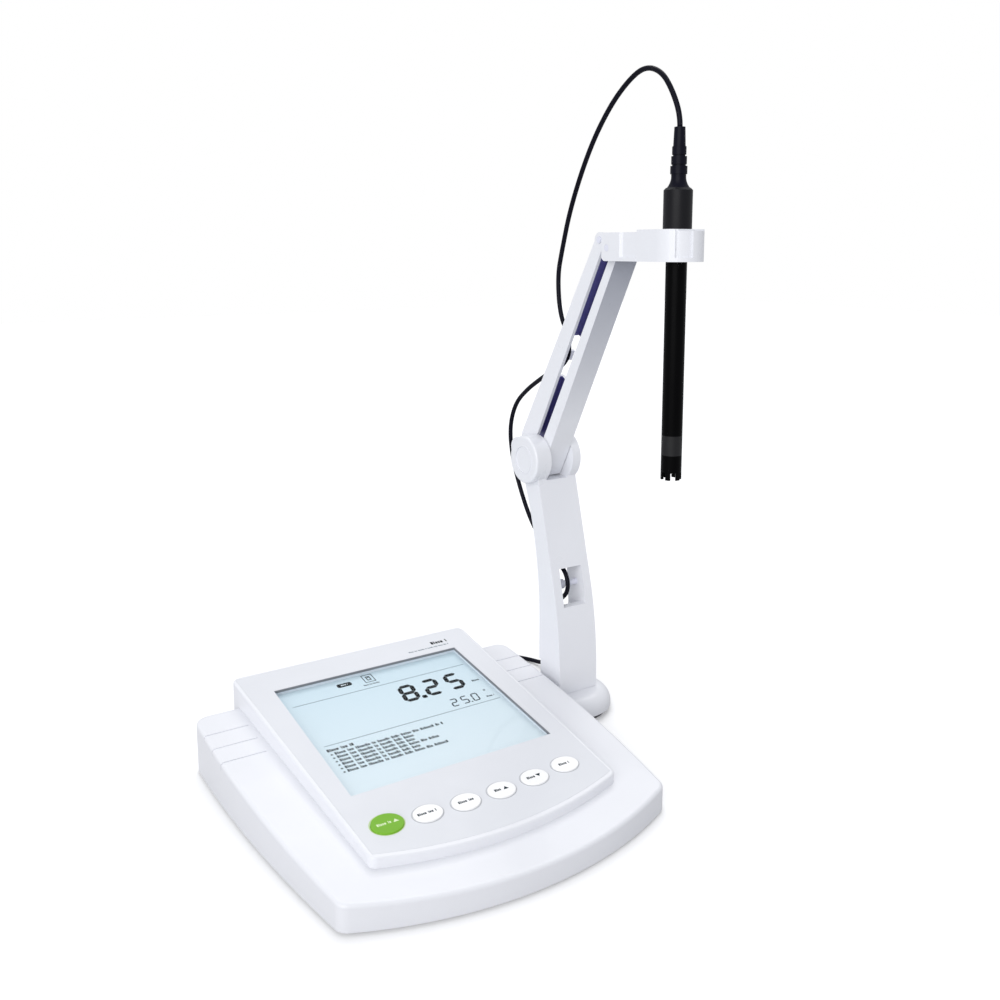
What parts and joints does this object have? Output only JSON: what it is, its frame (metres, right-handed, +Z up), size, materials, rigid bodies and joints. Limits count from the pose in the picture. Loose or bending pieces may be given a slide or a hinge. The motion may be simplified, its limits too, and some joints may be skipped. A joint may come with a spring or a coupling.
{
  "type": "benchtop dissolved-oxygen meter with electrode arm",
  "caption": "Benchtop electrochemistry meter: wedge case with display and oval keys, swivelling parallel-link arm that holds a probe upright.",
  "frame": {"origin": "on the bench, at the middle of the footprint of the meter and its arm, without the free cable", "axes": "+X to the meter's right, +Y to its back, +Z up"},
  "size_m": [0.2655, 0.2917, 0.4089],
  "materials": {
    "case_white": "satin moulded ABS, faintly lilac white",
    "panel_grey": "lilac grey satin faceplate",
    "window_clear": "clear display window",
    "lcd_cyan": "pale cyan backlit display",
    "backlight_white": "diffuser",
    "frame_black": "moulded display tray",
    "board_green": "solder-masked board",
    "key_green": "green key",
    "key_white": "white key",
    "mat_rubber": "silicone key mat",
    "foot_rubber": "rubber foot",
    "socket_metal": "nickel-plated connector",
    "socket_black": "moulded connector",
    "screw_steel": "zinc-plated steel",
    "plate_steel": "painted steel plate",
    "arm_white": "satin moulded ABS, faintly lilac white",
    "arm_inner": "satin moulded ABS",
    "pin_steel": "turned steel pin",
    "washer_nylon": "nylon",
    "grip_rubber": "rubber grip",
    "probe_black": "satin black probe body",
    "sleeve_grey": "dark grey membrane cap",
    "stem_epoxy": "electrode stem",
    "cable_black": "black PVC jacket",
    "plug_metal": "nickel-plated BNC plug",
    "boot_black": "moulded boot"
  },
  "bodies": {
    "case": {"top_housing": "case_white", "bottom_cover": "case_white", "faceplate": "panel_grey", "display_window": "window_clear", "lcd_module": "lcd_cyan", "backlight": "backlight_white", "lcd_frame": "frame_black", "main_board": "board_green", "key_mat": "mat_rubber", "key_board": "board_green", "probe_socket": "socket_metal", "temperature_socket": "socket_black", "usb_socket": "socket_black", "power_socket": "socket_black", "rubber_feet": "foot_rubber", "housing_screws": "screw_steel", "base_plate": "plate_steel", "base_plate_screws": "screw_steel", "base_ring": "foot_rubber", "pivot_post": "pin_steel", "bnc_plug": "plug_metal", "plug_boot": "boot_black", "cable_bench": "cable_black"},
    "column": {"hub_turret": "arm_white", "column_body": "arm_white", "cable_hook": "arm_inner", "hinge_bolt": "pin_steel", "hinge_cap_left": "arm_white", "hinge_cap_right": "arm_white", "rear_pivot_pin": "pin_steel", "friction_washers": "washer_nylon", "cable_column": "cable_black"},
    "front_link": {"front_link": "arm_white"},
    "rear_link": {"rear_link": "arm_white", "link_clip": "arm_inner", "cable_link": "cable_black", "head_rear_pin": "arm_inner"},
    "head": {"holder_head": "arm_white", "head_front_pin": "arm_inner", "probe_grip": "grip_rubber", "cable_head": "cable_black"},
    "probe": {"probe_shaft": "probe_black", "membrane_sleeve": "sleeve_grey", "probe_guard": "probe_black", "cathode_stem": "stem_epoxy", "probe_cap": "probe_black", "probe_relief": "cable_black", "cable_probe": "cable_black"},
    "key_measure_body": {"key_measure": "key_green"},
    "key_mode_body": {"key_mode": "key_white"},
    "key_cal_body": {"key_cal": "key_white"},
    "key_up_body": {"key_up": "key_white"},
    "key_down_body": {"key_down": "key_white"},
    "key_enter_body": {"key_enter": "key_white"}
  },
  "joints": [
    {"name": "swivel", "type": "hinge", "parent": "case", "child": "column", "pos_m": [0.10426, 0.03911, 0.008], "axis": [0, 0, 1], "range_deg": [-90, 90], "deforming": ["cable_column"]},
    {"name": "arm_lift", "type": "hinge", "parent": "column", "child": "rear_link", "pos_m": [0.10426, 0.07961, 0.1728], "axis": [1, 0, 0], "range_deg": [-27, 22], "deforming": ["cable_link"]},
    {"name": "head_level", "type": "hinge", "parent": "rear_link", "child": "head", "pos_m": [0.10426, 0.00194, 0.31177], "axis": [1, 0, 0], "range_deg": [-22, 27], "deforming": ["cable_head"]},
    {"name": "front_link_swing", "type": "hinge", "parent": "column", "child": "front_link", "pos_m": [0.10426, 0.06411, 0.168], "axis": [1, 0, 0], "range_deg": [-27, 22]},
    {"name": "probe_slide", "type": "slide", "parent": "head", "child": "probe", "axis": [0, 0, 1], "range_m": [0, 0.06], "deforming": ["cable_probe"]},
    {"name": "press_measure", "type": "slide", "parent": "case", "child": "key_measure_body", "axis": [0, 0.1219, -0.9925], "range_m": [0, 0.0012], "stiffness_N_per_m": 900},
    {"name": "press_mode", "type": "slide", "parent": "case", "child": "key_mode_body", "axis": [0, 0.1219, -0.9925], "range_m": [0, 0.0012], "stiffness_N_per_m": 900},
    {"name": "press_cal", "type": "slide", "parent": "case", "child": "key_cal_body", "axis": [0, 0.1219, -0.9925], "range_m": [0, 0.0012], "stiffness_N_per_m": 900},
    {"name": "press_up", "type": "slide", "parent": "case", "child": "key_up_body", "axis": [0, 0.1219, -0.9925], "range_m": [0, 0.0012], "stiffness_N_per_m": 900},
    {"name": "press_down", "type": "slide", "parent": "case", "child": "key_down_body", "axis": [0, 0.1219, -0.9925], "range_m": [0, 0.0012], "stiffness_N_per_m": 900},
    {"name": "press_enter", "type": "slide", "parent": "case", "child": "key_enter_body", "axis": [0, 0.1219, -0.9925], "range_m": [0, 0.0012], "stiffness_N_per_m": 900}
  ],
  "couplings": [
    {"joint": "head_level", "follows": "arm_lift", "ratio": -1},
    {"joint": "front_link_swing", "follows": "arm_lift", "ratio": 1}
  ]
}
